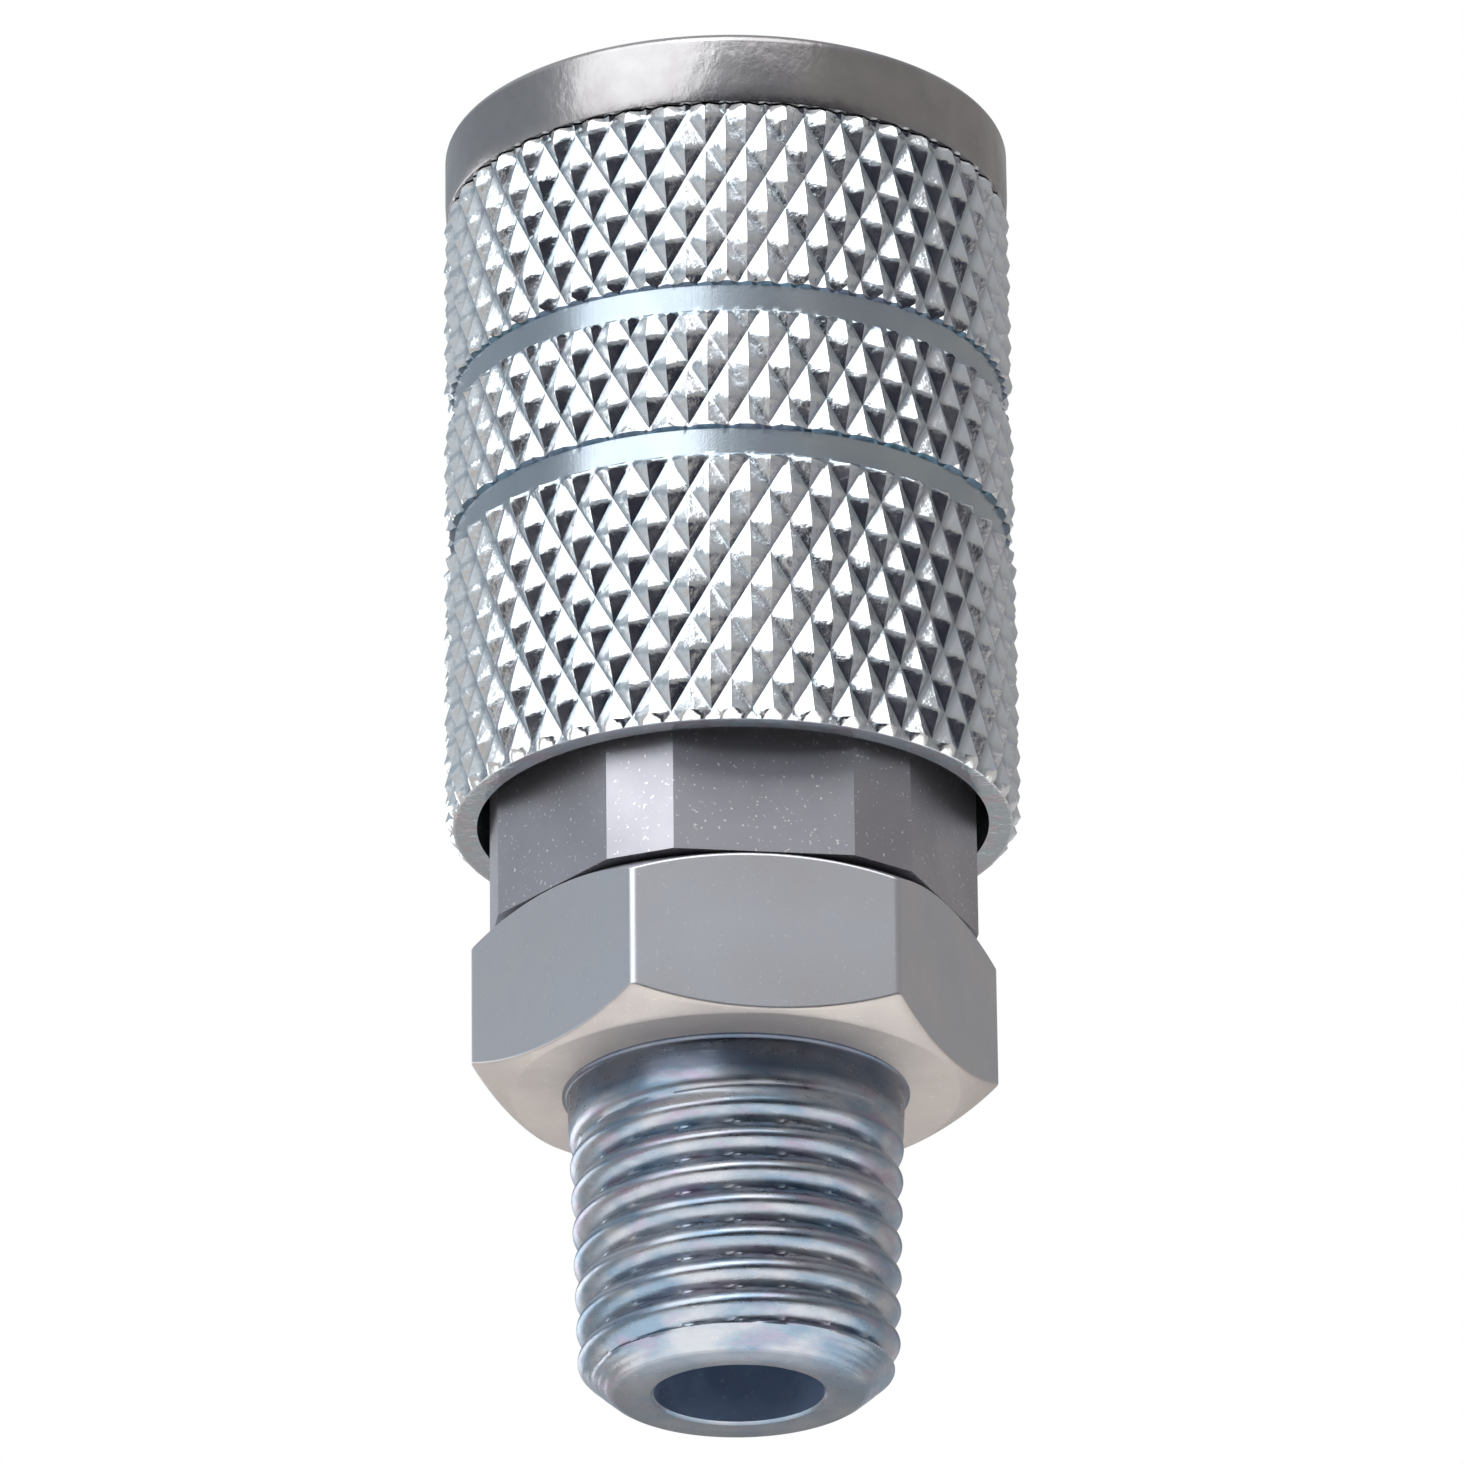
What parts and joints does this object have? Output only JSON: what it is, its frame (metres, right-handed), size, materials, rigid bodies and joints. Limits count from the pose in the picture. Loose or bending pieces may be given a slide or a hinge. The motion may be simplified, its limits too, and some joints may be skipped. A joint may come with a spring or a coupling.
{
  "type": "quick disconnect coupler",
  "caption": "Ball-lock quick disconnect coupler socket: knurled sliding sleeve, hexagon for a wrench, shut-off valve and male taper pipe thread.",
  "frame": {"origin": "centre of the flat end of the male pipe thread", "axes": "+Z along the coupler's axis, from the pipe thread to the socket mouth; -Y is the front, with a hexagon flat turned 7.74 degrees from it towards +X"},
  "size_m": [0.024, 0.024, 0.056],
  "materials": {
    "plated_steel": "zinc-plated turned steel, satin",
    "knurled_zinc": "bright zinc plate over a diamond knurl",
    "collar_steel": "darker satin steel",
    "spring_steel": "drawn spring wire",
    "hardened_steel": "polished hardened balls",
    "brass": "turned",
    "rubber": "matt"
  },
  "bodies": {
    "root": {"adapter": "plated_steel", "socket_body": "plated_steel", "nose_collar": "collar_steel", "collar_ring": "spring_steel", "sleeve_spring": "spring_steel", "joint_seal": "rubber", "valve_seat": "brass", "seal_ring": "brass", "plug_seal": "rubber", "valve_guide": "brass", "valve_spring": "spring_steel"},
    "thrust_washer": {"thrust_washer": "collar_steel"},
    "sleeve": {"sleeve": "knurled_zinc"},
    "valve": {"valve_poppet": "brass", "valve_face": "rubber"},
    "ball_1": {"ball_1": "hardened_steel"},
    "ball_2": {"ball_2": "hardened_steel"},
    "ball_3": {"ball_3": "hardened_steel"},
    "ball_4": {"ball_4": "hardened_steel"},
    "ball_5": {"ball_5": "hardened_steel"},
    "ball_6": {"ball_6": "hardened_steel"}
  },
  "joints": [
    {"name": "sleeve_slide", "type": "slide", "parent": "root", "child": "thrust_washer", "axis": [0, 0, -1], "range_m": [0, 0.004], "stiffness_N_per_m": 1800, "springref_m": -0.003, "deforming": ["sleeve_spring"]},
    {"name": "sleeve_spin", "type": "hinge", "parent": "thrust_washer", "child": "sleeve", "pos_m": [0, 0, 0.025], "axis": [0, 0, 1], "continuous": true},
    {"name": "valve_slide", "type": "slide", "parent": "root", "child": "valve", "axis": [0, 0, -1], "range_m": [0, 0.004], "stiffness_N_per_m": 600, "springref_m": -0.003, "deforming": ["valve_spring"]},
    {"name": "ball_1_slide", "type": "slide", "parent": "root", "child": "ball_1", "axis": [1, 0, 0], "range_m": [0, 0.00107]},
    {"name": "ball_2_slide", "type": "slide", "parent": "root", "child": "ball_2", "axis": [0.5, 0.866, 0], "range_m": [0, 0.00107]},
    {"name": "ball_3_slide", "type": "slide", "parent": "root", "child": "ball_3", "axis": [-0.5, 0.866, 0], "range_m": [0, 0.00107]},
    {"name": "ball_4_slide", "type": "slide", "parent": "root", "child": "ball_4", "axis": [-1, 0, 0], "range_m": [0, 0.00107]},
    {"name": "ball_5_slide", "type": "slide", "parent": "root", "child": "ball_5", "axis": [-0.5, -0.866, 0], "range_m": [0, 0.00107]},
    {"name": "ball_6_slide", "type": "slide", "parent": "root", "child": "ball_6", "axis": [0.5, -0.866, 0], "range_m": [0, 0.00107]}
  ],
  "couplings": [
    {"joint": "ball_1_slide", "follows": "sleeve_slide", "ratio": 0.2675},
    {"joint": "ball_2_slide", "follows": "sleeve_slide", "ratio": 0.2675},
    {"joint": "ball_3_slide", "follows": "sleeve_slide", "ratio": 0.2675},
    {"joint": "ball_4_slide", "follows": "sleeve_slide", "ratio": 0.2675},
    {"joint": "ball_5_slide", "follows": "sleeve_slide", "ratio": 0.2675},
    {"joint": "ball_6_slide", "follows": "sleeve_slide", "ratio": 0.2675}
  ]
}
